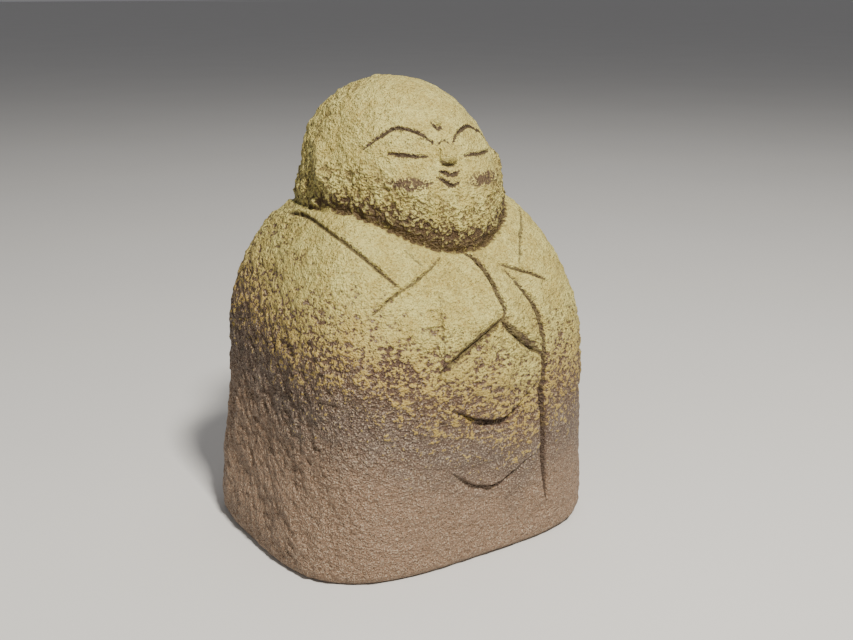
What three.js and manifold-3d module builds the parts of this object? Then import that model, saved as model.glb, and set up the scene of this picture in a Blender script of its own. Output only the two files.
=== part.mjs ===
// A small garden jizo of unglazed stoneware: a robed figure with a bald egg-shaped head, hands
// folded under the robe, and lines cut into the clay. It is one piece of fired clay.
// Millimetres, +Z up. The figure faces -Y, and a viewer in front of it has +X to the right.
// The origin is on the underside, on the figure's upright axis.
// A place on the skin is a bearing and a height. The bearing is in degrees round the axis from
// straight ahead, positive towards +X, and the height is in hundredths of the figure's height.
import * as THREE from 'three';
import { mergeVertices } from 'three/addons/utils/BufferGeometryUtils.js';
import Module from 'manifold-3d';

// Overall sizes
const HEIGHT = 265;
const FOOT_WIDTH = 207;
const WAIST_WIDTH = 186;
const FOOT_FRONT = 91;
const BELLY_FRONT = 98;
const BACK_DEPTH = 85;
const FOOT_ROUND = 6;

// Head sizes
const HEAD_WIDTH = 119;
const HEAD_FRONT = 71;
const HEAD_BACK = 66;
const HEAD_LEAN = 6.75;
const FACE_TURN = -6.5;
const FACE_SLOPE = 2.5;
const NECK_BLEND = 3.5;

// Depths and widths of the carving
const LINE_WIDTH = 3;
const LINE_DEPTH = 2;
const FOLD_WIDTH = 3.5;
const FOLD_DEPTH = 4;
const JAW_WIDTH = 5;
const JAW_DEPTH = 2.5;
const HAND_RISE = 6;
const BELLY_RISE = 5;
const EAR_RISE = 5.5;
const EAR_HOLLOW = 4;
const CHEEK_RISE = 1.5;
const NOSE_WIDTH = 11;
const NOSE_RISE = 4;
const URNA_WIDTH = 5;
const COLLAR_DROP = 4;

// How far cuts reach past the skin, how deep the nose is rooted, and the facets along a cut
const CUT_CLEARANCE = 2;
const NOSE_ROOT = 3;
const STRIDE = 7;
const FACE_STRIDE = 4;
const LIP_STRIDE = 2.5;

// Shape of the body and head, as shares of the height and as powers of the outline curves
const UNIT = HEIGHT / 100;
const WAIST_HEIGHT = 40 * UNIT;
const SHOULDER_TOP = 80.6 * UNIT;
const BODY_SQUARENESS = 3.4;
const SHOULDER_POWER = 2.34;
const CHEST_POWER = 1.81;
const HEAD_MIDDLE = 69 * UNIT;
const CROWN_POWER = 2.1;
const JAW_DROP = 10 * UNIT;
const JAW_POWER = 2.4;

const FRONT = -Math.PI / 2;
const REACH_LIMIT = 0.8 * Math.max(FOOT_WIDTH, BELLY_FRONT * 2, BACK_DEPTH * 2);
const { degToRad: radians, smoothstep: smooth, lerp, euclideanModulo } = THREE.MathUtils;

function closing(share, power) {
  return (1 - Math.min(Math.max(share, 0), 0.9999) ** power) ** (1 / power);
}

// How far outside the body's bell a point is, in millimetres; less than nothing inside
function bodyForm(x, y, z) {
  if (z >= SHOULDER_TOP) return HEIGHT;
  const rise = smooth(z, 0, WAIST_HEIGHT);
  const shoulder = (z - WAIST_HEIGHT) / (SHOULDER_TOP - WAIST_HEIGHT);
  const footDepth = y < 0 ? FOOT_FRONT : BACK_DEPTH;
  const waistDepth = y < 0 ? BELLY_FRONT : BACK_DEPTH;
  const halfWidth = lerp(FOOT_WIDTH, WAIST_WIDTH, rise) / 2 * closing(shoulder, SHOULDER_POWER);
  const halfDepth = lerp(footDepth, waistDepth, rise) * closing(shoulder, CHEST_POWER);
  const across = (Math.abs(x) / halfWidth) ** BODY_SQUARENESS;
  const along = (Math.abs(y) / halfDepth) ** BODY_SQUARENESS;
  return ((across + along) ** (1 / BODY_SQUARENESS) - 1) * Math.min(halfWidth, halfDepth);
}

// The same for the head, an egg that leans to the figure's right
function headForm(x, y, z) {
  const lean = radians(HEAD_LEAN);
  const up = z - HEAD_MIDDLE;
  const sideways = x * Math.cos(lean) + up * Math.sin(lean);
  const upward = up * Math.cos(lean) - x * Math.sin(lean);
  const depth = y < 0 ? HEAD_FRONT : HEAD_BACK;
  const round = Math.hypot(sideways / (HEAD_WIDTH / 2), y / depth);
  const power = upward > 0 ? CROWN_POWER : JAW_POWER;
  const reach = upward > 0 ? HEIGHT - HEAD_MIDDLE : JAW_DROP;
  const size = (round ** power + (Math.abs(upward) / reach) ** power) ** (1 / power);
  return (size - 1) * HEAD_WIDTH * 0.375;
}

// The two forms together, with a soft valley where the head sits on the shoulders
function form(x, y, z) {
  const body = bodyForm(x, y, z);
  const head = headForm(x, y, z);
  const share = Math.min(Math.max(0.5 + (body - head) / (2 * NECK_BLEND), 0), 1);
  return lerp(body, head, share) - NECK_BLEND * share * (1 - share);
}

function bisect(inside, limit) {
  let near = 0;
  let far = limit;
  for (let step = 0; step < 24; step += 1) {
    const middle = (near + far) / 2;
    if (inside(middle)) near = middle;
    else far = middle;
  }
  return (near + far) / 2;
}

// Soft swellings of the clay: middle bearing and height, spans, rise, and how the middle slants
const SWELLINGS = [
  { bearing: -3, height: 56, across: 23, up: 9, rise: HAND_RISE },
  { bearing: 0, height: 42, across: 17, up: 6.5, rise: BELLY_RISE },
  { bearing: 0, height: 27, across: 19, up: 6, rise: BELLY_RISE / 2 },
  { bearing: FACE_TURN - 19, height: 80.5, across: 11, up: 3, rise: CHEEK_RISE },
  { bearing: FACE_TURN + 19, height: 80, across: 11, up: 3, rise: CHEEK_RISE },
  { bearing: FACE_TURN - 70, height: 82, across: 7, up: 4.5, rise: EAR_RISE, slant: -2 },
  { bearing: FACE_TURN + 70, height: 82, across: 7, up: 4.5, rise: EAR_RISE, slant: 2 },
  { bearing: FACE_TURN - 118, height: 81, across: 28, up: 5, rise: -EAR_HOLLOW },
  { bearing: FACE_TURN + 118, height: 81, across: 28, up: 5, rise: -EAR_HOLLOW },
];

function swelling(bearing, height) {
  let rise = 0;
  for (const lump of SWELLINGS) {
    const upward = height - lump.height;
    const sideways = bearing - lump.bearing - (lump.slant ?? 0) * upward;
    rise += lump.rise * Math.exp(-((sideways / lump.across) ** 2) - (upward / lump.up) ** 2);
  }
  return rise;
}

// How far the rounded edge of the foot stands in from the wall
function footInset(z) {
  if (z >= FOOT_ROUND) return 0;
  return FOOT_ROUND - Math.sqrt(FOOT_ROUND ** 2 - (FOOT_ROUND - z) ** 2);
}

// The point of the skin at a bearing and height
function skin(bearing, height) {
  const angle = FRONT + radians(bearing);
  const z = height * UNIT;
  const turn = euclideanModulo(bearing + 180, 360) - 180;
  const base = bisect((far) => form(far * Math.cos(angle), far * Math.sin(angle), z) < 0, REACH_LIMIT);
  const far = base + swelling(turn, height) - footInset(z);
  return new THREE.Vector3(far * Math.cos(angle), far * Math.sin(angle), z);
}

function skinNormal(bearing, height) {
  const nudge = 0.5;
  const around = skin(bearing + nudge, height).sub(skin(bearing - nudge, height));
  const upward = skin(bearing, height + nudge).sub(skin(bearing, height - nudge));
  return around.cross(upward).normalize();
}

// A closed solid through rings of equal count, each counter-clockwise seen from the last ring
function loft(rings, start, end) {
  const count = rings[0].length;
  const points = [...rings.flat(), start, end];
  const faces = [];
  for (let side = 0; side < count; side += 1) {
    const next = (side + 1) % count;
    faces.push(points.length - 2, next, side);
    for (let ring = 0; ring + 1 < rings.length; ring += 1) {
      const low = ring * count;
      const high = low + count;
      faces.push(low + side, low + next, high + next, low + side, high + next, high + side);
    }
    const last = (rings.length - 1) * count;
    faces.push(last + side, last + next, points.length - 1);
  }
  const geometry = new THREE.BufferGeometry().setFromPoints(points);
  geometry.setIndex(faces);
  return geometry;
}

function middleOf(ring) {
  return ring.reduce((sum, point) => sum.add(point), new THREE.Vector3()).divideScalar(ring.length);
}

// Where the upright axis comes out of the crown
const CROWN_HEIGHT = bisect((z) => form(0, 0, z) < 0, 1.2 * HEIGHT) / UNIT;

// Rows of the whole figure's skin, close together where the form turns quickly
function rowHeights() {
  const rows = [];
  const footRows = 3;
  for (let row = 0; row <= footRows; row += 1) {
    rows.push(FOOT_ROUND * (1 - Math.cos(row * Math.PI / 2 / footRows)) / UNIT);
  }
  const bands = [
    { upto: 62, step: 2.9 },
    { upto: 78, step: 1.8 },
    { upto: 90, step: 2.1 },
  ];
  for (const band of bands) {
    const start = rows[rows.length - 1];
    const count = Math.ceil((band.upto - start) / band.step);
    for (let row = 1; row <= count; row += 1) rows.push(start + (band.upto - start) * row / count);
  }
  const crownStart = rows[rows.length - 1];
  const crownRows = 7;
  for (let row = 1; row < crownRows; row += 1) {
    rows.push(crownStart + (CROWN_HEIGHT - crownStart) * Math.sin(row * Math.PI / 2 / crownRows));
  }
  return rows;
}

// Bearings once round the figure, closer together in front
function bearingsAround() {
  const sectors = [
    { upto: -105, step: 11 },
    { upto: -60, step: 6.5 },
    { upto: 60, step: 4 },
    { upto: 105, step: 6.5 },
    { upto: 180, step: 11 },
  ];
  const bearings = [-180];
  for (const sector of sectors) {
    const start = bearings[bearings.length - 1];
    const count = Math.ceil((sector.upto - start) / sector.step);
    const span = sector.upto - start;
    for (let turn = 1; turn <= count; turn += 1) bearings.push(start + span * turn / count);
  }
  bearings.pop();
  return bearings;
}

function figure() {
  const bearings = bearingsAround();
  const rings = rowHeights().map((height) => bearings.map((bearing) => skin(bearing, height)));
  return loft(rings, new THREE.Vector3(0, 0, 0), new THREE.Vector3(0, 0, CROWN_HEIGHT * UNIT));
}

const PLAIN_CUT = { depth: LINE_DEPTH, left: LINE_WIDTH / 2, right: LINE_WIDTH / 2, stride: STRIDE };

// A knife cut along a line on the skin. Its walls reach `left` and `right` millimetres to the
// sides of the line, seen from outside in the line's own direction, and it fades at both ends.
function knifeCut(cut) {
  const { line, depth, left, right, stride } = { ...PLAIN_CUT, ...cut };
  const path = new THREE.SplineCurve(line.map(([bearing, height]) => new THREE.Vector2(bearing, height)));
  const rough = path.getPoints(24).map((place) => skin(place.x, place.y));
  const length = rough.reduce((sum, point, at) => (at ? sum + point.distanceTo(rough[at - 1]) : 0), 0);
  const steps = Math.max(4, Math.ceil(length / stride));
  const places = path.getSpacedPoints(steps);
  const points = places.map((place) => skin(place.x, place.y));
  const rings = points.map((point, at) => {
    const before = points[Math.max(at - 1, 0)];
    const after = points[Math.min(at + 1, steps)];
    const outward = skinNormal(places[at].x, places[at].y);
    const along = after.clone().sub(before).normalize();
    const toRight = along.clone().cross(outward).normalize();
    const fade = Math.sqrt(Math.sin(Math.PI * (0.06 + 0.88 * at / steps)));
    const spread = 1 + CUT_CLEARANCE / (depth * fade);
    const corner = (sideways, up) => point.clone()
      .addScaledVector(toRight, sideways * fade).addScaledVector(outward, up);
    const leftRim = corner(-left * spread, CUT_CLEARANCE);
    const rightRim = corner(right * spread, CUT_CLEARANCE);
    return [leftRim, rightRim, corner(0, -depth * fade)];
  });
  return loft(rings, middleOf(rings[0]), middleOf(rings[steps]));
}

// A line of the face: its bearings run from the middle of the face, `side` mirrors it, and the
// whole face slopes a little, as the head is tilted
function onFace(line, side = 1) {
  const slope = Math.tan(radians(FACE_SLOPE)) * HEAD_WIDTH / 2 / UNIT;
  return line.map(([offset, height]) => {
    const turn = side * offset;
    return [FACE_TURN + turn, height - slope * radians(turn)];
  });
}

const BROW = [[4.5, 87.4], [10, 89.4], [17, 90.5], [26, 90.8], [35, 89.6], [44, 86.8]];
const EYE = [[10, 85.5], [20, 85.6], [31, 85.8]];

const BRIDGE = [[-4.5, 87.2], [-2.3, 88.3], [0, 88.6], [2.3, 88.3], [4.5, 87.2]];
const UPPER_LIP = [[-5.5, 83], [-1.5, 82.2], [1.5, 81.9], [5.5, 82.6]];
const LOWER_LIP = [[-6.5, 81.5], [-2.5, 80.4], [0.5, 79.8], [4.5, 80.8]];
const UNDER_URNA = [[-3, 91.6], [-0.5, 90.2], [2.4, 91.2]];

const FACE_CUTS = [
  { line: onFace(BROW, -1), stride: FACE_STRIDE },
  { line: onFace(BROW), stride: FACE_STRIDE },
  { line: onFace(EYE, -1), stride: FACE_STRIDE },
  { line: onFace(EYE), stride: FACE_STRIDE },
  { line: onFace(BRIDGE), depth: LINE_DEPTH / 2, stride: LIP_STRIDE },
  { line: onFace(UPPER_LIP), stride: LIP_STRIDE },
  { line: onFace(LOWER_LIP), stride: LIP_STRIDE },
  { line: onFace(UNDER_URNA), depth: LINE_DEPTH / 2, stride: LIP_STRIDE * 0.8 },
];

// How far the body alone or the head alone reaches out at a bearing and height
function reachOf(part, bearing, height) {
  const angle = FRONT + radians(bearing);
  return bisect((far) => part(far * Math.cos(angle), far * Math.sin(angle), height * UNIT) < 0, REACH_LIMIT);
}

// The height of the neck line, where the head and the shoulders meet, at a bearing
function neckHeight(bearing) {
  const lowest = 55;
  const shouldersOutside = (rise) => {
    const height = lowest + rise;
    return reachOf(bodyForm, bearing, height) > reachOf(headForm, bearing, height);
  };
  return lowest + bisect(shouldersOutside, SHOULDER_TOP / UNIT - lowest);
}

// Behind the shoulders the collar's edge runs below the neck line, lowest in the middle
function belowNeck(bearing) {
  const behind = 1 - Math.cos(radians(bearing));
  return [bearing, neckHeight(bearing) - COLLAR_DROP * behind ** 1.5 / UNIT];
}

// Edges of the robe, the arms and the folded hands
const SLEEVE_EDGE = [[13, 62.2], [16, 59.5], [20, 54], [20, 48], [19, 42], [19, 36], [21, 27], [23, 19.6],
  [27, 8.7]];
const ROBE_CUTS = [
  { line: [belowNeck(-101), [-80, 72.2], [-60, 70.5], [-45, 67.2], [-31, 61.5]] },
  { line: [belowNeck(101), [75, 72.3], [50, 71], [33, 67.5], [21, 62.3]] },
  { line: [101, 120, 140, 160, 180, 200, 220, 240, 259].map(belowNeck), depth: LINE_DEPTH / 2 },
  { line: [[-41, 56.2], [-34, 60], [-24, 63], [-14, 66]] },
  { line: [[-29, 67.9], [-22, 64.9]], depth: LINE_DEPTH / 2 },
  { line: [[12, 68.3], [8, 64.5]], depth: LINE_DEPTH / 2 },
  { line: [[12, 63.4], [24, 60.8], [32, 58.1]] },
  { line: [[-3, 66.4], [1, 64.5], [3.5, 61.5], [4, 58.5], [5, 55.5], [4, 53]], depth: LINE_DEPTH * 1.5 },
  { line: SLEEVE_EDGE, depth: LINE_DEPTH * 1.7, right: LINE_WIDTH, left: LINE_WIDTH },
  { line: [[-18, 60.8], [-18.5, 43]], depth: LINE_DEPTH / 2 },
];

// Deeper cuts: under the hands, where the robe hangs in two swags, each with one wall wider
const PLAIN_FOLD = { depth: FOLD_DEPTH, left: FOLD_WIDTH / 2, right: FOLD_WIDTH };
const UPPER_SWAG = [[-15.5, 37], [-8, 34.3], [-1, 32.8], [5, 33.2], [9, 35], [15, 38]];
const LOWER_SWAG = [[-14.5, 22.6], [-7, 18.9], [0, 17.4], [6, 18.1], [12, 20], [17.5, 22]];

const FOLD_CUTS = [
  { ...PLAIN_FOLD, line: [[5, 54], [0, 52.7], [-9, 49.8], [-18, 46.2], [-20, 44.6]], left: FOLD_WIDTH },
  { ...PLAIN_FOLD, line: [[3, 54], [8, 50.4], [13, 47.7], [18, 45.2]], left: FOLD_WIDTH * 1.5 },
  { ...PLAIN_FOLD, line: UPPER_SWAG, right: FOLD_WIDTH * 1.3 },
  { ...PLAIN_FOLD, line: LOWER_SWAG, depth: FOLD_DEPTH * 0.7 },
];

// The crease under the jaw follows the neck line
function jawCut() {
  const line = [];
  for (let bearing = -110; bearing <= 110; bearing += 10) line.push([bearing, neckHeight(bearing)]);
  return { line, depth: JAW_DEPTH, left: JAW_WIDTH, stride: STRIDE * 1.4 };
}

// The nose, a small wedge that is widest and highest at its flat lower end
function nose() {
  const heights = [84.2, 85.2, 86.4, 87.6];
  const shares = [1, 0.95, 0.8, 0.55];
  const rings = heights.map((height, at) => {
    const middle = skin(FACE_TURN, height);
    const outward = skinNormal(FACE_TURN, height).setZ(0).normalize();
    const sideways = new THREE.Vector3(0, 0, 1).cross(outward);
    const half = NOSE_WIDTH / 2 * shares[at];
    const rise = NOSE_RISE * shares[at] ** 1.3;
    const rightHalf = [[half / 2, rise], [half, 0], [half, -NOSE_ROOT]];
    const leftHalf = rightHalf.map(([across, out]) => [-across, out]).reverse();
    const section = [...rightHalf, ...leftHalf];
    return section.map(([across, out]) => middle.clone()
      .addScaledVector(sideways, across).addScaledVector(outward, out));
  });
  return loft(rings, middleOf(rings[0]), middleOf(rings[rings.length - 1]));
}

// The small round mark on the forehead
function urna() {
  const dot = new THREE.SphereGeometry(URNA_WIDTH / 2, 10, 6);
  dot.scale(1, 0.7, 1);
  const place = skin(FACE_TURN - 0.5, 92.3);
  return dot.translate(place.x, place.y, place.z);
}

const wasm = await Module();
wasm.setup();

function solid(geometry) {
  geometry.deleteAttribute('normal');
  geometry.deleteAttribute('uv');
  const merged = mergeVertices(geometry, 1e-4);
  const vertProperties = new Float32Array(merged.attributes.position.array);
  const triVerts = new Uint32Array(merged.index.array);
  return new wasm.Manifold(new wasm.Mesh({ numProp: 3, vertProperties, triVerts }));
}

function geometryOf(manifold) {
  const mesh = manifold.getMesh();
  const geometry = new THREE.BufferGeometry();
  geometry.setAttribute('position', new THREE.BufferAttribute(mesh.vertProperties, 3));
  geometry.setIndex(new THREE.BufferAttribute(mesh.triVerts, 1));
  geometry.computeVertexNormals();
  return geometry;
}

let statue = solid(figure());
for (const cut of [...FACE_CUTS, ...ROBE_CUTS, ...FOLD_CUTS, jawCut()]) {
  statue = statue.subtract(solid(knifeCut(cut)));
}
statue = statue.add(solid(nose())).add(solid(urna()));

const stoneware = new THREE.MeshStandardMaterial({ color: 0xa08d68, roughness: 0.95, metalness: 0 });
const jizo = new THREE.Mesh(geometryOf(statue), stoneware);
jizo.name = 'jizo_statue';

const group = new THREE.Group();
group.add(jizo);
export default group;
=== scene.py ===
import math

import bmesh
import bpy
import numpy as np
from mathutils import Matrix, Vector


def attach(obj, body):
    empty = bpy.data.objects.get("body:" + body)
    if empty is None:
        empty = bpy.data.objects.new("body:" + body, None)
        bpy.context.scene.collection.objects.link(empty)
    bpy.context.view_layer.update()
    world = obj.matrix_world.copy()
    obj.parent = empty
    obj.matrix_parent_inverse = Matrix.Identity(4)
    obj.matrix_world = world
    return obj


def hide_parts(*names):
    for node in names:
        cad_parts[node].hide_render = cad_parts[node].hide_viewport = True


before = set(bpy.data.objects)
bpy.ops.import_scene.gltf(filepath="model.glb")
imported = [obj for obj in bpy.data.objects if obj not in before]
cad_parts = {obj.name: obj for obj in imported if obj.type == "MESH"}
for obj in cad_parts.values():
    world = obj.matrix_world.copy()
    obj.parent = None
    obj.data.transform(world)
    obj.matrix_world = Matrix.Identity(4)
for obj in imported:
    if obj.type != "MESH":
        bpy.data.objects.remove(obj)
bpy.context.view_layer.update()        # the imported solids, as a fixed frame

# A stoneware jizo, modelled in millimetres and turned to metres when its mesh is made.
# A place on the skin is a bearing, in degrees round the upright axis from straight ahead and
# positive towards +X, and a height in hundredths of the figure's height.
# Left and right are as seen by someone who faces the figure: left is -X, right is +X.
MM = 0.001

# Overall sizes
HEIGHT = 265.0
FOOT_WIDTH = 207.0
WAIST_WIDTH = 186.0
FOOT_FRONT = 91.0
BELLY_FRONT = 98.0
BACK_DEPTH = 85.0
FOOT_ROUND = 6.0

# Head sizes, and in degrees how the head leans and the face turns and slopes
HEAD_WIDTH = 119.0
HEAD_FRONT = 71.0
HEAD_BACK = 66.0
HEAD_LEAN = math.radians(6.75)
FACE_TURN = -6.5
FACE_SLOPE = 2.5
NECK_BLEND = 3.5

# Shape of the body and head, as shares of the height and as powers of the outline curves
UNIT = HEIGHT / 100
WAIST_HEIGHT = 40 * UNIT
SHOULDER_TOP = 80.6 * UNIT
BODY_SQUARENESS = 3.4
SHOULDER_POWER = 2.34
CHEST_POWER = 1.81
HEAD_MIDDLE = 69 * UNIT
CROWN_POWER = 2.1
JAW_DROP = 10 * UNIT
JAW_POWER = 2.4

# About how far the head's skin lies from its middle, as a share of its width
HEAD_SCALE = 0.375

# The skin is found on a ray of this length, by halving it this many times
REACH_LIMIT = 0.8 * FOOT_WIDTH
HALVINGS = 24

# Depths, widths and rises of the carving and the swellings
LINE_WIDTH = 3.0
LINE_DEPTH = 2.0
FOLD_WIDTH = 3.5
FOLD_DEPTH = 4.0
JAW_WIDTH = 5.0
JAW_DEPTH = 2.5
COLLAR_DROP = 4.0
HAND_RISE = 6.0
BELLY_RISE = 5.0
CHEEK_RISE = 1.5
EAR_RISE = 5.5
EAR_HOLLOW = 4.0
NOSE_RISE = 5.0
NOSE_HALF_TOP = 2.4
NOSE_HALF_BOTTOM = 5.6
URNA_WIDTH = 4.4
URNA_RISE = 1.5

# Fineness of the skin mesh: steps in degrees in front and behind, rows in millimetres, and
# how near to a carved line an edge has to be to be split once and split again. Over the crown
# the rows are spaced as on a ball of this radius.
FRONT_FROM = -140.0
FRONT_TO = 85.0
FRONT_STEP = 0.92
BACK_STEP = 1.5
ROW_STEP = 1.5
CROWN_RADIUS = 62.0
FINE_BANDS = (3.6, 1.9)


def smooth(value, low, high):
    """0 up to `low`, 1 from `high` on, and a smooth step between them."""
    share = np.clip((value - low) / (high - low), 0, 1)
    return share * share * (3 - 2 * share)


def mix(low, high, share):
    """The value that lies a share of the way from `low` to `high`."""
    return low + (high - low) * share


# The smooth form of the figure

def closing(share, power):
    """How a width closes in along an outline curve, from 1 at its start to almost 0."""
    almost_closed = 0.9999
    return (1 - np.clip(share, 0, almost_closed) ** power) ** (1 / power)


def body_form(x, y, z):
    """About how far outside the body's bell a point is, in millimetres; negative inside."""
    rise = smooth(z, 0, WAIST_HEIGHT)
    shoulder = (z - WAIST_HEIGHT) / (SHOULDER_TOP - WAIST_HEIGHT)
    front = y < 0
    foot_depth = np.where(front, FOOT_FRONT, BACK_DEPTH)
    waist_depth = np.where(front, BELLY_FRONT, BACK_DEPTH)
    half_width = mix(FOOT_WIDTH, WAIST_WIDTH, rise) / 2 * closing(shoulder, SHOULDER_POWER)
    half_depth = mix(foot_depth, waist_depth, rise) * closing(shoulder, CHEST_POWER)
    across = (np.abs(x) / half_width) ** BODY_SQUARENESS
    along = (np.abs(y) / half_depth) ** BODY_SQUARENESS
    size = (across + along) ** (1 / BODY_SQUARENESS)
    return np.where(z < SHOULDER_TOP, (size - 1) * np.minimum(half_width, half_depth), HEIGHT)


def head_form(x, y, z):
    """The same for the head, an egg whose top leans to the left."""
    up = z - HEAD_MIDDLE
    sideways = x * math.cos(HEAD_LEAN) + up * math.sin(HEAD_LEAN)
    upward = up * math.cos(HEAD_LEAN) - x * math.sin(HEAD_LEAN)
    depth = np.where(y < 0, HEAD_FRONT, HEAD_BACK)
    ring = np.hypot(sideways / (HEAD_WIDTH / 2), y / depth)
    power = np.where(upward > 0, CROWN_POWER, JAW_POWER)
    reach = np.where(upward > 0, HEIGHT - HEAD_MIDDLE, JAW_DROP)
    size = (ring ** power + (np.abs(upward) / reach) ** power) ** (1 / power)
    return (size - 1) * HEAD_WIDTH * HEAD_SCALE


def whole_form(x, y, z):
    """The two forms together, with a soft valley where the head sits on the shoulders."""
    body = body_form(x, y, z)
    head = head_form(x, y, z)
    share = np.clip(0.5 + (body - head) / (2 * NECK_BLEND), 0, 1)
    return mix(body, head, share) - NECK_BLEND * share * (1 - share)


def reach(form, bearing, height, lift=0.0):
    """How far out the form reaches from the axis, at a height, on a ray lifted by an angle."""
    angle = np.radians(bearing - 90.0)
    ahead_x = np.cos(angle) * np.cos(lift)
    ahead_y = np.sin(angle) * np.cos(lift)
    ahead_z = np.sin(lift)
    near = np.zeros(np.broadcast(bearing, height, lift).shape)
    far = near + REACH_LIMIT
    for _ in range(HALVINGS):
        middle = (near + far) / 2
        inside = form(middle * ahead_x, middle * ahead_y, height + middle * ahead_z) < 0
        near = np.where(inside, middle, near)
        far = np.where(inside, far, middle)
    return np.stack([near * ahead_x, near * ahead_y, height + near * ahead_z], -1)


# Soft swellings of the clay: middle bearing and height, spans in both, rise, and how the
# middle slants. In turn: hands, belly, lap, both cheeks, both ears, the hollows behind them.
SWELLINGS = (
    (-3.0, 56.0, 23.0, 9.0, HAND_RISE, 0.0),
    (0.0, 42.0, 17.0, 6.5, BELLY_RISE, 0.0),
    (0.0, 27.0, 19.0, 6.0, BELLY_RISE / 2, 0.0),
    (FACE_TURN - 19, 80.5, 11.0, 3.0, CHEEK_RISE, 0.0),
    (FACE_TURN + 19, 80.0, 11.0, 3.0, CHEEK_RISE, 0.0),
    (FACE_TURN - 70, 82.0, 7.0, 4.5, EAR_RISE, -2.0),
    (FACE_TURN + 70, 82.0, 7.0, 4.5, EAR_RISE, 2.0),
    (FACE_TURN - 118, 81.0, 28.0, 5.0, -EAR_HOLLOW, 0.0),
    (FACE_TURN + 118, 81.0, 28.0, 5.0, -EAR_HOLLOW, 0.0),
)


def swelling(bearing, height):
    """How far the swellings and hollows together move the skin out at a place."""
    rise = 0.0
    for middle, level, across, up, most, slant in SWELLINGS:
        upward = height - level
        sideways = bearing - middle - slant * upward
        rise = rise + most * np.exp(-(sideways / across) ** 2 - (upward / up) ** 2)
    return rise


def foot_inset(z):
    """How far the rounded edge of the foot stands in from the wall."""
    below = np.clip(FOOT_ROUND - z, 0, FOOT_ROUND)
    return FOOT_ROUND - np.sqrt(FOOT_ROUND ** 2 - below ** 2)


def bearing_of(points):
    return np.degrees(np.arctan2(points[..., 0], -points[..., 1]))


def swell(points):
    """Moves points of the plain form from the axis by the swellings and the foot's edge."""
    bearing = bearing_of(points)
    out = swelling(bearing, points[..., 2] / UNIT) - foot_inset(points[..., 2])
    ahead = np.stack([np.sin(np.radians(bearing)), -np.cos(np.radians(bearing))], -1)
    moved = points.copy()
    moved[..., :2] += ahead * out[..., None]
    return moved


def skin(bearing, height):
    """The point of the skin at a bearing and height."""
    return swell(reach(whole_form, bearing, height * UNIT))


def sheet_point(bearing, station):
    """A point for a place on the flat sheet: level rays up to the head, then rays that lift."""
    lift = np.clip((station - HEAD_MIDDLE) / CROWN_RADIUS, 0, math.pi / 2)
    level = np.minimum(station, HEAD_MIDDLE)
    return swell(reach(whole_form, bearing, level, lift))


# Carved lines, each a smooth curve through bearings and heights on the skin

def on_face(line, side=1):
    """A line of the face: its bearings run from the middle of the face, `side` mirrors it, and
    the whole face slopes a little, as the head is tilted."""
    slope = math.tan(math.radians(FACE_SLOPE)) * HEAD_WIDTH / 2 / UNIT
    turned = [(side * offset, height) for offset, height in line]
    return [(FACE_TURN + turn, height - slope * math.radians(turn)) for turn, height in turned]


BROW_LEFT = [(4.5, 87.4), (8, 88.5), (12, 89.5), (18, 90.2), (26, 90.4), (34, 88.8), (39, 87.5),
             (44, 86)]
BROW_RIGHT = [(4.5, 87.4), (8, 88.6), (12, 89.7), (18, 90.4), (26, 90.8), (34, 90), (40, 89),
              (46, 87.8), (52, 86.4)]
EYE_LEFT = [(9.5, 85.4), (20, 85.5), (31, 85.7)]
EYE_RIGHT = [(10.5, 85.5), (20, 85.5), (30, 85.6), (39.5, 85.8)]
BRIDGE = [(-4.5, 87.3), (-2.2, 87.9), (0.3, 88.4), (2.3, 88), (4.5, 87.4)]
NOSE_SIDE = [(-4.4, 87.2), (-3.9, 86), (-4.3, 84.9)]
UNDER_NOSE = [(-4.2, 84.6), (-2.2, 84), (1, 83.75), (3.6, 83.9), (5.6, 84.4)]
UPPER_LIP = [(-6, 82.6), (-2.4, 82.4), (0.5, 81.9), (2.8, 82), (6, 82.7)]
LOWER_LIP = [(-6.6, 81.6), (-3.8, 80.9), (-1, 80.2), (1, 79.9), (2.8, 80.1), (4.8, 80.6)]
UNDER_URNA = [(-3.4, 91.9), (-2.4, 91), (-0.6, 90.5), (2.2, 91.1)]

COLLAR_LEFT = [(-80, 72.2), (-60, 70.5), (-45, 67.2), (-31, 61.5)]
COLLAR_RIGHT = [(75, 72.3), (50, 71), (33, 67.5), (21, 62.3)]
ARM_LEFT = [(-41, 56.2), (-34, 60), (-24, 63), (-14, 66)]
ARM_RIGHT = [(12, 63.4), (24, 60.8), (32, 58.1)]
INNER_LEFT = [(-29, 67.9), (-22, 64.9)]
INNER_RIGHT = [(12, 68.3), (8, 64.5)]
BETWEEN_HANDS = [(-3, 66.4), (1, 64.5), (3.5, 61.5), (4, 58.5), (5, 55.5), (4, 53)]
SLEEVE_RIGHT = [(13, 62.2), (16, 59.5), (20, 54), (20, 48), (19, 42), (19, 36), (21, 27),
                (23, 19.6), (27, 8.7)]
SLEEVE_LEFT = [(-18, 60.8), (-18.5, 43)]
UNDER_HANDS_LEFT = [(5, 54), (0, 52.7), (-9, 49.8), (-18, 46.2), (-20, 44.6)]
UNDER_HANDS_RIGHT = [(3, 54), (8, 50.4), (13, 47.7), (18, 45.2)]
UPPER_SWAG = [(-15.5, 37), (-8, 34.3), (-1, 32.8), (5, 33.2), (9, 35), (15, 38)]
LOWER_SWAG = [(-14.5, 22.6), (-7, 18.9), (0, 17.4), (6, 18.1), (12, 20), (17.5, 22)]


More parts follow.
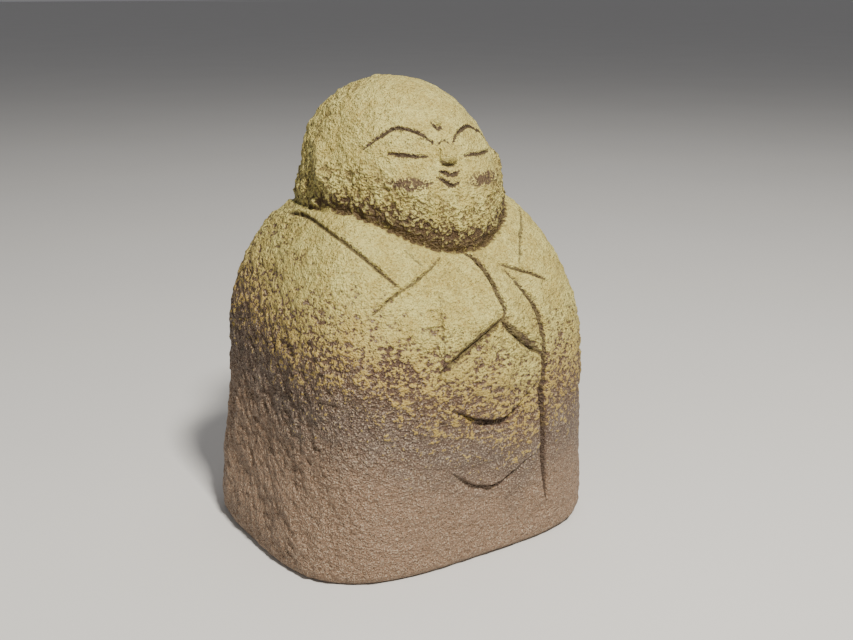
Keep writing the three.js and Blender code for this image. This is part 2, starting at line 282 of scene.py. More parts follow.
def neck_heights(bearings):
    """The heights where the head and the shoulders meet."""
    lowest = 55.0
    low = np.full(bearings.shape, lowest)
    high = np.full(bearings.shape, SHOULDER_TOP / UNIT)
    for _ in range(HALVINGS):
        middle = (low + high) / 2
        body = reach(body_form, bearings, middle * UNIT)
        head = reach(head_form, bearings, middle * UNIT)
        shoulders = np.hypot(body[:, 0], body[:, 1]) > np.hypot(head[:, 0], head[:, 1])
        low = np.where(shoulders, middle, low)
        high = np.where(shoulders, high, middle)
    return (low + high) / 2


def below_neck(bearings):
    """Behind the shoulders the collar's edge runs below the neck line, lowest in the middle."""
    bearings = np.array(bearings, float)
    behind = 1 - np.cos(np.radians(bearings))
    return list(zip(bearings, neck_heights(bearings) - COLLAR_DROP * behind ** 1.5 / UNIT))


NECK_BEARINGS = np.arange(-180.0, 181.0, 7.5)
NECK = neck_heights(NECK_BEARINGS)
JAW = list(zip(NECK_BEARINGS, NECK))
COLLAR_LEFT = below_neck([-101]) + COLLAR_LEFT
COLLAR_RIGHT = below_neck([101]) + COLLAR_RIGHT
COLLAR_BACK = below_neck([101, 120, 140, 160, 180, 200, 220, 240, 259])


def cut(line, depth=LINE_DEPTH, left=LINE_WIDTH / 2, right=LINE_WIDTH / 2, ink_and_shadow=1.0, tint=1.0,
        taper=0.25, lips=(0.0, 0.0), fine=True):
    """A carved line: the groove's depth and walls, the half-width and strength of the dark
    pigment in it, which in the grooves under the hands, the upper swag and the nose is also
    painted shadow, the share of its length that tapers at each end, how high the clay swells
    on its left and right, and whether the mesh is made finer along it. The sides here are as
    seen from outside in the line's own direction."""
    return {"line": line, "depth": depth, "walls": (left, right), "ink_and_shadow": ink_and_shadow, "tint": tint,
            "taper": taper, "lips": lips, "fine": fine}


# Brows and eyes are cut alike. The crease under the jaw is the last of the cuts.
FACE_GROOVE = {"depth": 1.6, "left": 1.3, "right": 1.3}
CUTS = (
    cut(on_face(BROW_LEFT, -1), ink_and_shadow=1.35, **FACE_GROOVE),
    cut(on_face(BROW_RIGHT), ink_and_shadow=1.35, **FACE_GROOVE),
    cut(on_face(EYE_LEFT, -1), ink_and_shadow=1.2, **FACE_GROOVE),
    cut(on_face(EYE_RIGHT), ink_and_shadow=1.15, **FACE_GROOVE),
    cut(on_face(BRIDGE), depth=0.9, left=0.8, right=0.8, ink_and_shadow=0.55),
    cut(on_face(NOSE_SIDE), depth=0.7, left=0.9, right=0.9, ink_and_shadow=0.2, tint=0.6),
    cut(on_face(UPPER_LIP), depth=1.7, left=1.4, right=1.4, ink_and_shadow=1.25, lips=(0.0, 0.5)),
    cut(on_face(LOWER_LIP), depth=2.2, left=1.7, right=1.7, ink_and_shadow=1.7, taper=0.5),
    cut(on_face(UNDER_URNA), depth=1.0, left=1.1, right=1.1, ink_and_shadow=1.25),
    # Under the nose the dark in the groove is also painted shadow
    cut(on_face(UNDER_NOSE), depth=1.1, left=1.5, right=1.5, ink_and_shadow=1.05, tint=0.85, taper=0.3),
    cut(COLLAR_LEFT, left=1.7, right=1.7, ink_and_shadow=1.1, tint=0.85, taper=0.1, lips=(0.5, 0.0)),
    cut(COLLAR_RIGHT, left=1.7, right=1.7, ink_and_shadow=1.15, tint=0.7, taper=0.1, lips=(0.0, 0.5)),
    cut(COLLAR_BACK, depth=1.4, ink_and_shadow=0.6, tint=0.6, taper=0.05, lips=(0.0, 0.6), fine=False),
    cut(ARM_LEFT, depth=1.8, ink_and_shadow=0.8, tint=0.75, lips=(0.0, 0.9)),
    cut(INNER_LEFT, depth=0.9, ink_and_shadow=0.6, tint=0.65),
    cut(INNER_RIGHT, depth=0.9, ink_and_shadow=0.3, tint=0.5),
    cut(ARM_RIGHT, depth=2.0, left=1.8, right=1.8, ink_and_shadow=1.1, tint=0.85),
    cut(BETWEEN_HANDS, depth=3.4, left=2.8, right=2.8, ink_and_shadow=1.8, tint=0.9, lips=(2.0, 2.4)),
    cut(SLEEVE_RIGHT, depth=3.4, left=3.6, right=3.2, ink_and_shadow=2.0, tint=0.9, taper=0.3, lips=(0.8, 0.0)),
    cut(SLEEVE_LEFT, depth=0.8, left=1.3, right=1.3, ink_and_shadow=0.35, tint=0.6, lips=(1.2, 0.0)),
    # Under the hands and under the upper swag the dark in the grooves is also painted shadow below the
    # overhanging clay
    cut(UNDER_HANDS_LEFT, depth=FOLD_DEPTH, left=FOLD_WIDTH, right=FOLD_WIDTH * 1.3,
        ink_and_shadow=2.1, tint=0.8, lips=(0.0, 2.2)),
    cut(UNDER_HANDS_RIGHT, depth=FOLD_DEPTH, left=FOLD_WIDTH * 2.2, right=FOLD_WIDTH * 0.8,
        ink_and_shadow=2.7, tint=0.82, lips=(3.2, 0.0)),
    cut(UPPER_SWAG, depth=FOLD_DEPTH, left=FOLD_WIDTH * 0.6, right=FOLD_WIDTH * 1.3,
        ink_and_shadow=1.4, tint=0.85, taper=0.4, lips=(2.2, 0.0)),
    cut(LOWER_SWAG, depth=FOLD_DEPTH * 0.7, left=FOLD_WIDTH * 0.6, right=FOLD_WIDTH * 1.2,
        ink_and_shadow=0.6, tint=0.65, taper=0.4, lips=(1.6, 0.0)),
    cut(JAW, depth=JAW_DEPTH, left=JAW_WIDTH, ink_and_shadow=0.0, tint=0.0, taper=0.0, fine=False),
)


def curve_through(line, count):
    """Points spread evenly along a smooth curve through the line's places."""
    steps_between = 24
    places = np.array(line, float)
    padded = np.vstack([places[:1], places, places[-1:]])
    share = np.linspace(0, 1, steps_between, endpoint=False)[:, None]
    parts = []
    for at in range(len(places) - 1):
        a, b, c, d = padded[at:at + 4]
        parts.append(0.5 * (2 * b + (c - a) * share + (2 * a - 5 * b + 4 * c - d) * share ** 2
                            + (3 * b - a - 3 * c + d) * share ** 3))
    fine = np.vstack(parts + [places[-1:]])
    along = np.concatenate([[0], np.cumsum(np.hypot(*np.diff(fine, axis=0).T))])
    even = np.linspace(0, along[-1], count)
    return np.stack([np.interp(even, along, fine[:, axis]) for axis in range(2)], -1)


def line_points(one_cut):
    """Points along the cut's line on the skin, and at each the way to the line's right."""
    rough_count = 60
    fewest = 12
    spacing = 0.6
    nudge = 0.5
    rough = skin(*curve_through(one_cut["line"], rough_count).T)
    length = np.linalg.norm(np.diff(rough, axis=0), axis=1).sum()
    places = curve_through(one_cut["line"], max(fewest, int(length / spacing)))
    points = skin(*places.T)
    around = skin(places[:, 0] + nudge, places[:, 1]) - skin(places[:, 0] - nudge, places[:, 1])
    upward = skin(places[:, 0], places[:, 1] + nudge) - skin(places[:, 0], places[:, 1] - nudge)
    outward = np.cross(around, upward)
    along = np.gradient(points, axis=0)
    rightward = np.cross(along, outward)
    rightward /= np.linalg.norm(rightward, axis=1, keepdims=True)
    return points, rightward


LINES = [line_points(one_cut) for one_cut in CUTS]
JAW_LINE = LINES[-1]


def near_line(points, line, limit):
    """Which points lie within the limit of a line, their nearest line point and distance."""
    low = line.min(0) - limit
    high = line.max(0) + limit
    chosen = np.nonzero(((points > low) & (points < high)).all(1))[0]
    nearest = np.zeros(len(chosen), int)
    distance = np.zeros(len(chosen))
    block = 4000
    for start in range(0, len(chosen), block):
        part = points[chosen[start:start + block]]
        gap = ((part[:, None, :] - line[None, :, :]) ** 2).sum(2)
        nearest[start:start + block] = gap.argmin(1)
        distance[start:start + block] = np.sqrt(gap.min(1))
    close = distance < limit
    return chosen[close], nearest[close], distance[close]


def line_distance(points):
    """Distance from each point to the nearest finely carved line."""
    limit = 9.0
    found = np.full(len(points), limit)
    for one_cut, (line, _) in zip(CUTS, LINES):
        if one_cut["fine"]:
            chosen, _, distance = near_line(points, line, limit)
            found[chosen] = np.minimum(found[chosen], distance)
    return found


# The flat sheet, finer near the carving, that is wrapped into the skin

def edge_middles(bm):
    ends = np.array([[vert.co[:2] for vert in edge.verts] for edge in bm.edges])
    return ends.mean(1)


def make_sheet():
    """A grid of bearings and stations, closer in front, with its edges split near the carving.
    The stations are heights up to the head's middle and then go on along the crown."""
    foot_rows = 6
    steepest = math.radians(88.5)
    front = np.linspace(FRONT_FROM, FRONT_TO, round((FRONT_TO - FRONT_FROM) / FRONT_STEP))
    left = np.linspace(-180, FRONT_FROM, round((180 + FRONT_FROM) / BACK_STEP), endpoint=False)
    right = np.linspace(180, FRONT_TO, round((180 - FRONT_TO) / BACK_STEP), endpoint=False)[::-1]
    bearings = np.concatenate([left, front, right])
    foot = FOOT_ROUND * (1 - np.cos(np.linspace(0, math.pi / 2, foot_rows)))
    top = HEAD_MIDDLE + CROWN_RADIUS * steepest
    count = round((top - FOOT_ROUND) / ROW_STEP)
    stations = np.concatenate([foot[:-1], np.linspace(FOOT_ROUND, top, count)])
    bm = bmesh.new()
    verts = [[bm.verts.new((bearing, station, 0)) for bearing in bearings] for station in stations]
    for lower, upper in zip(verts, verts[1:]):
        for at in range(len(bearings) - 1):
            bm.faces.new((lower[at], lower[at + 1], upper[at + 1], upper[at]))
    for closeness in FINE_BANDS:
        bm.edges.ensure_lookup_table()
        middles = edge_middles(bm)
        distance = line_distance(sheet_point(middles[:, 0], middles[:, 1]))
        chosen = [bm.edges[at] for at in np.nonzero(distance < closeness)[0]]
        bmesh.ops.subdivide_edges(bm, edges=chosen, cuts=1, use_grid_fill=True)
    bmesh.ops.triangulate(bm, faces=bm.faces[:])
    return bm


# Noise on the clay, made from a hashed lattice so that it is the same on every run

CELL_FACTORS = (374761393, 668265263, 2147483647)
SEED_FACTOR = 144665
MIXING_FACTOR = 1274126177


def lattice(cell, seed):
    """A value from -1 to 1 for each cell: its whole numbers mixed, and the last 16 bits kept."""
    number = seed * SEED_FACTOR
    for axis, factor in enumerate(CELL_FACTORS):
        number = number + cell[..., axis] * factor
    number = (number ^ (number >> 13)) * MIXING_FACTOR
    number = number ^ (number >> 16)
    return (number & 0xFFFF) / 32767.5 - 1


def clay_noise(points, seed):
    """Smooth noise from -1 to 1 on cells one unit wide."""
    cell = np.floor(points).astype(np.int64)
    share = points - cell
    share = share * share * (3 - 2 * share)
    total = 0.0
    for corner in np.ndindex(2, 2, 2):
        weight = np.prod(np.where(corner, share, 1 - share), axis=-1)
        total = total + weight * lattice(cell + np.array(corner), seed)
    return total


def streaks(points, way, length, width, seed):
    """Noise drawn out along a way: `length` along it and `width` across it, in millimetres."""
    way = np.array(way, float) / np.linalg.norm(way)
    along = (points @ way)[:, None] * way
    return clay_noise((points - along) / width + along / length, seed)


def layered(points, way, length, width, seed):
    """Streaks with weaker ones of half the size on them."""
    return (streaks(points, way, length, width, seed)
            + 0.5 * streaks(points, way, length / 2, width / 2, seed + 7))


# Masks on the skin

def neck_height(bearing):
    return np.interp(bearing, NECK_BEARINGS, NECK) * UNIT


def above_neck(points, bearing):
    """Millimetres from the neck line near it, and about the height above it elsewhere."""
    line, rightward = JAW_LINE
    limit = 24.0
    most = 60.0
    longer_way = 6.0
    found = np.clip(points[:, 2] - neck_height(bearing), -limit, most) + longer_way
    chosen, nearest, distance = near_line(points, line, limit)
    side = -((points[chosen] - line[nearest]) * rightward[nearest]).sum(1)
    found[chosen] = np.where(side > 0, distance, -distance)
    return found


def towards_back(bearing):
    """From 0 at the sides to 1 behind, where what marks only one side fades out."""
    return smooth(np.abs(bearing), 115, 175)


def coarse_mask(points, bearing, above):
    """How rough the clay is: the left flank, the jaw and the belt across the front most."""
    plain = 0.32
    z = points[:, 2]
    ahead = 1 - towards_back(bearing)
    flank = smooth(-bearing, 12, 55) * (0.9 - 0.55 * smooth(z, 120, 175))
    flank = np.maximum(flank, smooth(-bearing, 60, 90) * 0.75) * ahead
    flank = flank * (0.6 + 0.4 * smooth(z, 30, 100))
    jaw = smooth(above, -1, 4) * (1 - smooth(above, 22, 48))
    belt = smooth(z, 60, 95) * (1 - smooth(z, 130, 165)) * 0.7
    ear = smooth(-bearing, 62, 78) * smooth(above, -2, 2) * (1 - smooth(z, 225, 245)) * 0.6 * ahead
    behind = smooth(np.abs(bearing - 10), 70, 120) * 0.45
    return np.clip(np.maximum.reduce([flank, jaw, belt, ear, behind, plain + 0 * z]), 0, 1)


def burn_and_shade_mask(above, bearing):
    """The band along the jaw, widest at the chin: partly the clay's burnt colour, partly painted shade
    under the chin.
    """
    narrow = 7.0
    wide = 16.0
    width = mix(narrow, wide, np.exp(-((bearing + 12) / 55) ** 2))
    inside = smooth(above, -1.5, 0.5) * np.clip(1.15 - above / width, 0, 1)
    return inside * np.exp(-(bearing / 100) ** 4)


def patch_at(bearing, height, middle, level, across, up):
    """One soft patch of stain."""
    return np.exp(-((bearing - middle) / across) ** 2 - ((height - level) / up) ** 2)


def cheek_shade_and_patch_mask(bearing, height):
    """Painted shade in the creases of both cheeks, and fainter dark patches on the shoulder and the
    belly.
    """
    faint = 0.42
    left = patch_at(bearing, height, FACE_TURN - 18.5, 80.5, 10.0, 1.25)
    right = patch_at(bearing, height, FACE_TURN + 22.0, 80.3, 12.5, 1.45)
    shoulder = patch_at(bearing, height, -71.0, 65.4, 11.0, 1.6) * faint
    belt = patch_at(bearing, height, -33.0, 46.5, 9.0, 6.0) * faint
    return np.maximum.reduce([left, right, shoulder, belt])


def glaze_level(points, bearing):
    """Millimetres above the height where the tan of the upper part gives way to brown."""
    in_front = 97
    higher_behind = 24
    dip = 16
    behind = towards_back(bearing)
    left = 27 * smooth(-bearing, 8, 48) + 20 * smooth(-bearing, 60, 110)
    edge = in_front + left * (1 - behind) + higher_behind * behind
    edge = edge - dip * np.exp(-((bearing - 11) / 8) ** 2)
    return points[:, 2] - edge


def nose_rise(bearing, height):
    """The nose, a small button that stands out most just above its rounded lower end."""
    root = 88.2
    tip = 84.9
    lower_end = 84.0
    beside = 0.6
    skin_radius = HEAD_FRONT * 0.93
    down = np.clip((root - height) / (root - tip), 0, 1)
    half = mix(NOSE_HALF_TOP, NOSE_HALF_BOTTOM, down ** 0.7)
    across = np.abs(bearing - FACE_TURN - beside) * math.radians(1) * skin_radius
    ridge = np.clip(1 - (across / half) ** 2.2, 0, 1) ** 0.75
    under = np.clip((height - lower_end) / (tip - lower_end), 0, 1) ** 0.5
    return NOSE_RISE * down ** 0.9 * ridge * under


def urna_rise(points):
    """The small round mark on the forehead."""
    middle = skin(FACE_TURN + 0.5, 91.8)
    gap = np.linalg.norm(points - middle, axis=1)
    return URNA_RISE * np.sqrt(np.clip(1 - (gap / (URNA_WIDTH / 2)) ** 2, 0, 1))


def carve(points):
    """The groove depth and the swelling of lips at each point, how far it lies inside the
    edge of the dark pigment, which under the hands, the upper swag and the nose is also
    painted shadow, and how strong that dark is there."""
    lip_reach = 16.0
    groove_reach = 7.0
    unmarked = -3.0
    depth = np.zeros(len(points))
    lips = np.zeros(len(points))
    ink_and_shadow = np.full(len(points), unmarked)
    tint = np.zeros(len(points))
    for one_cut, (line, rightward) in zip(CUTS, LINES):
        limit = lip_reach if any(one_cut["lips"]) else groove_reach
        chosen, nearest, distance = near_line(points, line, limit)
        on_right = ((points[chosen] - line[nearest]) * rightward[nearest]).sum(1) > 0
        wall = np.where(on_right, one_cut["walls"][1], one_cut["walls"][0])
        lip = np.where(on_right, one_cut["lips"][1], one_cut["lips"][0])
        along = nearest / (len(line) - 1)
        ends = np.minimum(along, 1 - along)
        taper = one_cut["taper"]
        fade = np.sqrt(np.clip(ends / taper, 0.03, 1)) if taper else np.ones(len(chosen))
        closeness = np.clip(1 - distance / (wall * (0.4 + 0.6 * fade)), 0, 1)
        depth[chosen] = np.maximum(depth[chosen], one_cut["depth"] * fade * closeness ** 1.2)
        swell_here = lip * fade * (1 - smooth(distance, 1.0, lip_reach))
        lips[chosen] = np.maximum(lips[chosen], swell_here)
        inside = one_cut["ink_and_shadow"] * fade - distance
        better = inside > ink_and_shadow[chosen]
        ink_and_shadow[chosen] = np.where(better, inside, ink_and_shadow[chosen])
        tint[chosen] = np.where(better, one_cut["tint"], tint[chosen])
    return depth, lips, ink_and_shadow, tint


def vertex_normals(mesh):
    values = np.empty(len(mesh.vertices) * 3, np.float32)
    mesh.vertices.foreach_get("normal", values)
    return values.reshape(-1, 3).astype(float)


def set_points(mesh, points):
    mesh.vertices.foreach_set("co", (points * MM).ravel())
    mesh.update()


def add_mask(mesh, name, values):
    mask = mesh.attributes.new(name, "FLOAT", "POINT")
    mask.data.foreach_set("value", np.asarray(values, np.float32))


def wrap(bm):
    """Wraps the sheet round the axis, closes its seam, its crown and its underside."""
    seam_gap = 0.01
    flat = np.array([vert.co[:2] for vert in bm.verts])
    for vert, point in zip(bm.verts, sheet_point(flat[:, 0], flat[:, 1])):
        vert.co = point
    bmesh.ops.remove_doubles(bm, verts=bm.verts[:], dist=seam_gap)
    rims = [edge for edge in bm.edges if edge.is_boundary]
    bmesh.ops.holes_fill(bm, edges=rims, sides=0)
    wide = [face for face in bm.faces if len(face.verts) > 4]
    bmesh.ops.poke(bm, faces=wide)
    bmesh.ops.recalc_face_normals(bm, faces=bm.faces[:])


def clay_relief(points, bearing, above, coarse):
    """The pebbly lumps, drawn out level in front, slanting on the left flank and falling on the
    left cheek, and the broad unevenness of the walls, with dents low on the left flank."""
    even_rough = 0.24
    coarse_rough = 1.25
    broad_rise = 0.6
    broad_cell = 14.0
    dent_depth = 2.6
    dent_cell = 20.0
    ahead = 1 - towards_back(bearing)
    flank = smooth(-bearing, 30, 60) * ahead
    cheek = smooth(above, 0, 3) * smooth(-bearing, 15, 40) * ahead
    slanted = layered(points, (0.2, -0.7, -0.7), length=4.0, width=3.0, seed=3)
    level = layered(points, (1.0, 0.2, -0.2), length=4.2, width=2.8, seed=11)
    falling = layered(points, (0.51, -0.62, -0.6), length=5.5, width=2.5, seed=31)
    lumps = mix(mix(level, slanted, flank), falling, cheek)
    dents = flank * (1 - smooth(points[:, 2], 90, 150)) * (1 - smooth(-bearing, 120, 160))
    broad = clay_noise(points / broad_cell, seed=23)
    broad = broad + dent_depth * dents * clay_noise(points / dent_cell, seed=41)
    return lumps, (even_rough + coarse_rough * coarse) * lumps, broad_rise * broad


def make_statue():
    """The whole figure: the smooth skin, moved in by the carving and out by nose, mark, lips and
    pebbles. The pebbles are calmer in the lines and on the nose, and end at the foot's edge."""
    bm = make_sheet()
    wrap(bm)
    mesh = bpy.data.meshes.new("jizo_stoneware")
    bm.to_mesh(mesh)
    bm.free()
    points = np.array([vert.co for vert in mesh.vertices], float)
    normals = vertex_normals(mesh)
    bearing = bearing_of(points)
    height = points[:, 2] / UNIT

    above = above_neck(points, bearing)
    nose = nose_rise(bearing, height)
    depth, lips, ink_and_shadow, tint = carve(points)
    coarse = coarse_mask(points, bearing, above)
    lumps, pebbly, broad = clay_relief(points, bearing, above, coarse)
    on_nose = np.clip(nose, 0, 1)
    calm = 1 - 0.6 * smooth(ink_and_shadow, -0.6, 0.2) - 0.3 * on_nose
    rough = pebbly * calm + broad
    out = nose + urna_rise(points) + lips - depth * (1 - 0.8 * on_nose) + rough
    out = out * smooth(points[:, 2], 0.5, 5.0)
    set_points(mesh, points + normals * out[:, None])

    # The pigment mask also carries painted shadow in the folds, the jaw band painted shade under the
    # chin, and the cheek patches painted shade
    add_mask(mesh, "ink_and_shadow", ink_and_shadow)
    add_mask(mesh, "tint", tint)
    add_mask(mesh, "burn_and_shade", burn_and_shade_mask(above, bearing))
    add_mask(mesh, "cheek_shade_and_patches", cheek_shade_and_patch_mask(bearing, height))
    add_mask(mesh, "glaze", glaze_level(points, bearing))
    add_mask(mesh, "coarse", coarse)
    add_mask(mesh, "lumps", lumps)
    mesh.polygons.foreach_set("use_smooth", [True] * len(mesh.polygons))
    statue = bpy.data.objects.new("jizo_stoneware", mesh)
    bpy.context.scene.collection.objects.link(statue)
    return statue


# Material helpers

class Shader:
    """Short calls for the nodes of one material. A value is a number or another node's output."""

    def __init__(self, name):
        self.material = bpy.data.materials.new(name)
        self.material.use_nodes = True
        self.nodes = self.material.node_tree.nodes
        self.links = self.material.node_tree.links
        self.surface = self.nodes["Principled BSDF"]
        self.place = self.nodes.new("ShaderNodeTexCoord").outputs["Object"]

    def feed(self, socket, value):
        if isinstance(value, bpy.types.NodeSocket):
            self.links.new(value, socket)
        else:
            socket.default_value = value

    def mask(self, name):
        node = self.nodes.new("ShaderNodeAttribute")
        node.attribute_name = name
        return node.outputs["Fac"]

    def math(self, operation, a, b, clamp=False):
        node = self.nodes.new("ShaderNodeMath")
        node.operation = operation
        node.use_clamp = clamp
        self.feed(node.inputs[0], a)
        self.feed(node.inputs[1], b)
        return node.outputs[0]

    def plus(self, a, b):
        return self.math("ADD", a, b)

    def minus(self, a, b):
        return self.math("SUBTRACT", a, b)

    def times(self, a, b, clamp=False):
        return self.math("MULTIPLY", a, b, clamp)

    def stretched(self, scale):
        node = self.nodes.new("ShaderNodeMapping")
        self.feed(node.inputs["Vector"], self.place)
        node.inputs["Scale"].default_value = scale
        return node.outputs["Vector"]

    def noise(self, grain_mm, detail=2.0, rough=0.5, stretch=(1, 1, 1)):
        node = self.nodes.new("ShaderNodeTexNoise")
        self.feed(node.inputs["Vector"], self.stretched(stretch))
        node.inputs["Scale"].default_value = 1 / (grain_mm * MM)
        node.inputs["Detail"].default_value = detail
        node.inputs["Roughness"].default_value = rough
        return node.outputs["Fac"]

    def ramp(self, value, low, high):
        node = self.nodes.new("ShaderNodeMapRange")
        node.interpolation_type = "SMOOTHSTEP"
        self.feed(node.inputs["Value"], value)
        node.inputs["From Min"].default_value = low
        node.inputs["From Max"].default_value = high
        return node.outputs["Result"]

    def blend(self, share, low, high):
        node = self.nodes.new("ShaderNodeMix")
        node.data_type = "RGBA"
        self.feed(node.inputs["Factor"], share)
        self.feed(node.inputs["A"], low)
        self.feed(node.inputs["B"], high)
        return node.outputs["Result"]


def colour(red, green, blue):
    """A display colour out of 255, as the linear colour that a shader takes."""
    shares = [channel / 255 for channel in (red, green, blue)]
    return tuple(share / 12.92 if share <= 0.04045 else ((share + 0.055) / 1.055) ** 2.4
                 for share in shares) + (1.0,)


TAN = colour(182, 167, 91)
PALE_TAN = colour(200, 190, 112)
PALE_GRAIN = colour(214, 206, 134)
OCHRE = colour(162, 132, 62)
GOLD = colour(172, 138, 72)
# Dark brown of random specks, also used for the darkening between pebbles that is partly painted shade
DARK_SPECK = colour(84, 60, 36)
UMBER = colour(98, 74, 54)
GREY_BROWN = colour(112, 97, 86)
PURPLE_BROWN = colour(98, 81, 70)
CLAY = colour(154, 126, 101)
CLAY_SHADE = colour(122, 98, 79)
PALE_GRIT = colour(190, 172, 148)
# Dark of the line pigment, also painted shadow in the grooves under the hands, the upper swag and the
# nose
PIGMENT_AND_SHADOW = colour(70, 52, 38)
# Burnt brown of the jaw band, also used as painted shade under the chin
BURNT_AND_SHADE = colour(74, 53, 32)
# Brown for the painted shade in the cheek creases and for the fainter patches on shoulder and belly
SHADE_PATCH_BROWN = colour(80, 58, 45)


def upper_clay(s, level, fine, grit, patch, hollow_brown_and_shade):
    """Olive tan with ochre and pale grains, more golden towards its lower edge."""
    tan = s.blend(s.ramp(patch, 0.35, 0.65), TAN, PALE_TAN)
    tan = s.blend(s.times(s.ramp(fine, 0.5, 0.66), 0.55), tan, OCHRE)
    tan = s.blend(s.times(s.ramp(grit, 0.42, 0.3), 0.5), tan, DARK_SPECK)
    tan = s.blend(s.times(s.ramp(grit, 0.56, 0.66), 0.4), tan, PALE_GRAIN)
    tan = s.blend(s.times(s.ramp(level, 44.0, -5.0), 0.7), tan, GOLD)
    # Darker between the pebbles: the clay's own dark brown, and painted shade
    return s.blend(hollow_brown_and_shade, tan, DARK_SPECK)


def lower_clay(s, level, drift, fine, grit, patch, hollow_brown_and_shade):
    """Grey and purple brown that gives way to bare reddish clay at the foot."""
    middle = s.blend(s.ramp(patch, 0.45, 0.67), PURPLE_BROWN, GREY_BROWN)
    bare = s.blend(s.ramp(fine, 0.35, 0.65), CLAY, CLAY_SHADE)
    lower = s.blend(s.ramp(s.plus(level, drift), -28.0, -66.0), middle, bare)
    lower = s.blend(s.times(s.ramp(level, -32.0, 2.0), 0.75), lower, UMBER)
    lower = s.blend(s.times(s.ramp(grit, 0.53, 0.64), 0.6), lower, PALE_GRIT)
    lower = s.blend(s.times(s.ramp(fine, 0.46, 0.32), 0.75), lower, DARK_SPECK)
    # Darker between the pebbles: the clay's own dark brown, and painted shade
    return s.blend(s.times(hollow_brown_and_shade, 0.4), lower, DARK_SPECK)


def stains_and_shade(s, body, fine, grit, raised):
    """Painted shade in the cheek creases and fainter dark patches, the burnt band under the jaw
    that is partly painted shade under the chin, and the pigment in the lines that is partly
    painted shadow, all ragged edged.
    """
    ragged = s.plus(s.plus(fine, -0.5), s.times(s.plus(grit, -0.5), 0.5))
    torn = s.plus(s.times(raised, 2.2), s.times(ragged, 1.6))
    # Painted shade in the cheek creases, and fainter dark patches on the shoulder and the belly
    cheek_shade_and_patches = s.ramp(s.minus(s.mask("cheek_shade_and_patches"), torn), 0.36, 0.6)
    cheek_shade_and_patches = s.times(cheek_shade_and_patches, s.ramp(s.mask("cheek_shade_and_patches"), 0.1, 0.5))
    body = s.blend(s.times(cheek_shade_and_patches, 0.92), body, SHADE_PATCH_BROWN)
    # The burnt band under the jaw, partly painted shade under the chin
    burnt_and_shade = s.ramp(s.minus(s.mask("burn_and_shade"), s.times(raised, 1.8)), 0.15, 0.85)
    burnt_and_shade = s.times(burnt_and_shade, s.ramp(s.mask("burn_and_shade"), 0.0, 0.35))
    body = s.blend(s.times(burnt_and_shade, 0.92), body, BURNT_AND_SHADE)
    # Line pigment, also painted shadow in the grooves under the hands, the upper swag and the nose
    ink_and_shadow = s.plus(s.mask("ink_and_shadow"), s.times(ragged, 3.0))
    ink_and_shadow = s.minus(ink_and_shadow, s.times(raised, 1.2))
    ink_and_shadow = s.times(s.ramp(ink_and_shadow, -0.25, 0.3), s.mask("tint"))
    return s.blend(s.times(ink_and_shadow, 0.95), body, PIGMENT_AND_SHADOW)


def stoneware():
    """The clay of the whole figure. Its grains are given in millimetres. `raised` is above
    nothing on pebbles and below it between them, `level` is the height over the tan's lower
    edge in millimetres, and the hollows between pebbles are darkened, partly with the clay's
    own dark brown and partly as painted shade."""
    s = Shader("stoneware_finish")
    fine = s.noise(1.2, detail=2.0, rough=0.6)
    grit = s.noise(0.9, detail=1.0, rough=0.5)
    patch = s.noise(11.0, detail=3.0, rough=0.55)
    pebble = s.noise(2.4, detail=1.0, rough=0.5, stretch=(0.9, 0.9, 1.15))
    crease = s.math("ABSOLUTE", s.plus(s.noise(3.4, detail=1.5, rough=0.6), -0.5), 0.0)
    coarse = s.mask("coarse")
    crease = s.times(s.times(s.ramp(crease, 0.13, 0.0), 0.2), coarse)
    pebble = s.minus(s.plus(pebble, 0.03), crease)
    raised = s.plus(s.plus(pebble, -0.5), s.times(s.mask("lumps"), 0.13))
    raised = s.plus(raised, s.times(s.plus(fine, -0.5), 0.3))

    level = s.mask("glaze")
    # Darkening between the pebbles, strongest on rough clay: the clay's own dark brown, and painted
    # shade
    hollow_brown_and_shade = s.times(s.ramp(raised, -0.02, -0.22), s.plus(coarse, 0.05))
    calm = s.times(s.ramp(level, 20.0, 60.0), 0.35)
    hollow_brown_and_shade = s.times(hollow_brown_and_shade, s.minus(1.05, calm), clamp=True)
    drift = s.times(s.plus(patch, -0.5), 30.0)
    upper = upper_clay(s, level, fine, grit, patch, hollow_brown_and_shade)
    lower = lower_clay(s, level, drift, fine, grit, patch, hollow_brown_and_shade)
    edge = s.plus(s.plus(level, s.times(raised, 150.0)), drift)
    body = s.blend(s.ramp(edge, -12.0, 12.0), lower, upper)
    s.feed(s.surface.inputs["Base Color"], stains_and_shade(s, body, fine, grit, raised))
    s.surface.inputs["Roughness"].default_value = 0.64
    s.surface.inputs["Specular IOR Level"].default_value = 0.4

    bump = s.nodes.new("ShaderNodeBump")
    bump.inputs["Strength"].default_value = 1.0
    bump.inputs["Distance"].default_value = 1.3 * MM
    relief = s.plus(s.times(fine, 1.3), s.times(grit, 0.9))
    relief = s.plus(relief, s.times(pebble, s.plus(s.times(coarse, 3.0), 0.45)))
    s.feed(bump.inputs["Height"], relief)
    s.feed(s.surface.inputs["Normal"], bump.outputs["Normal"])
    return s.material


statue = make_statue()
statue.data.materials.append(stoneware())
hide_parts("jizo_statue")
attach(statue, "root")


# Stage, light and camera

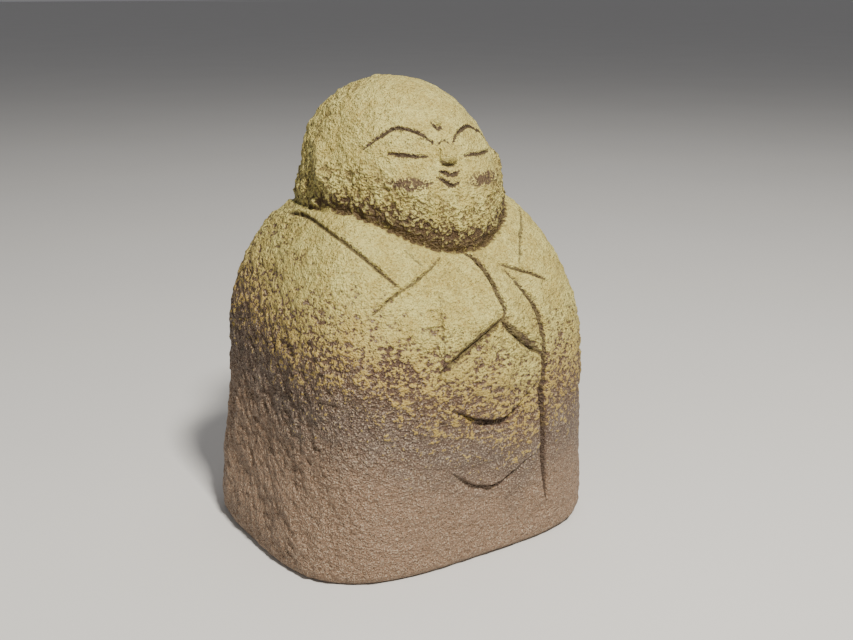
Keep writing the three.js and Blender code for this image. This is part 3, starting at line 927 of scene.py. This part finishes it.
def make_floor():
    half_side = 30.0
    bm = bmesh.new()
    bmesh.ops.create_grid(bm, x_segments=8, y_segments=8, size=half_side)
    mesh = bpy.data.meshes.new("floor")
    bm.to_mesh(mesh)
    bm.free()
    floor = bpy.data.objects.new("floor", mesh)
    bpy.context.scene.collection.objects.link(floor)
    s = Shader("floor_finish")
    tone = s.blend(s.noise(300.0), (0.62, 0.61, 0.59, 1), (0.66, 0.65, 0.63, 1))
    s.feed(s.surface.inputs["Base Color"], tone)
    s.surface.inputs["Roughness"].default_value = 0.9
    mesh.materials.append(s.material)


def direction(azimuth, elevation):
    """From the statue towards a place round it; azimuth 0 is in front of it."""
    around = math.radians(azimuth)
    up = math.radians(elevation)
    return Vector((math.sin(around) * math.cos(up), -math.cos(around) * math.cos(up), math.sin(up)))


def add_light(name, azimuth, elevation, distance, size, power, tint):
    """A square lamp that looks at the statue's middle, its distance and size in metres."""
    light = bpy.data.lights.new(name, "AREA")
    light.size = size
    light.energy = power
    light.color = tint
    lamp = bpy.data.objects.new(name, light)
    middle = Vector((0, 0, HEIGHT * MM / 2))
    lamp.location = middle + direction(azimuth, elevation) * distance
    lamp.rotation_euler = (middle - lamp.location).to_track_quat("-Z", "Y").to_euler()
    bpy.context.scene.collection.objects.link(lamp)


def add_camera():
    """The camera stands as for the photo: above the figure, in front of it and to the left."""
    image_width = 853
    image_height = 640
    focal_pixels = 1100
    horizon_row = -11
    sensor_mm = 36
    place = Vector((-337.7, -542.9, 311.5))
    turn = math.radians(33.43)
    pitch = math.atan((image_height / 2 - horizon_row) / focal_pixels)
    camera = bpy.data.cameras.new("camera")
    camera.sensor_width = sensor_mm
    camera.lens = focal_pixels / image_width * camera.sensor_width
    viewer = bpy.data.objects.new("camera", camera)
    viewer.location = place * MM
    level = math.cos(pitch)
    ahead = Vector((math.sin(turn) * level, math.cos(turn) * level, -math.sin(pitch)))
    viewer.rotation_euler = ahead.to_track_quat("-Z", "Y").to_euler()
    bpy.context.scene.collection.objects.link(viewer)
    bpy.context.scene.camera = viewer


def make_world():
    world = bpy.data.worlds.new("studio")
    world.use_nodes = True
    background = world.node_tree.nodes["Background"]
    background.inputs["Color"].default_value = (0.96, 0.96, 1.0, 1)
    background.inputs["Strength"].default_value = 0.2
    bpy.context.scene.world = world


make_floor()
add_light("key", azimuth=-8, elevation=50, distance=1.7, size=0.22, power=56, tint=(1.0, 0.96, 0.88))
add_light("fill", azimuth=-75, elevation=30, distance=1.8, size=1.4, power=2.6, tint=(1.0, 0.97, 0.92))
add_light("top", azimuth=130, elevation=60, distance=1.8, size=1.5, power=6, tint=(1.0, 0.97, 0.94))
add_camera()
make_world()
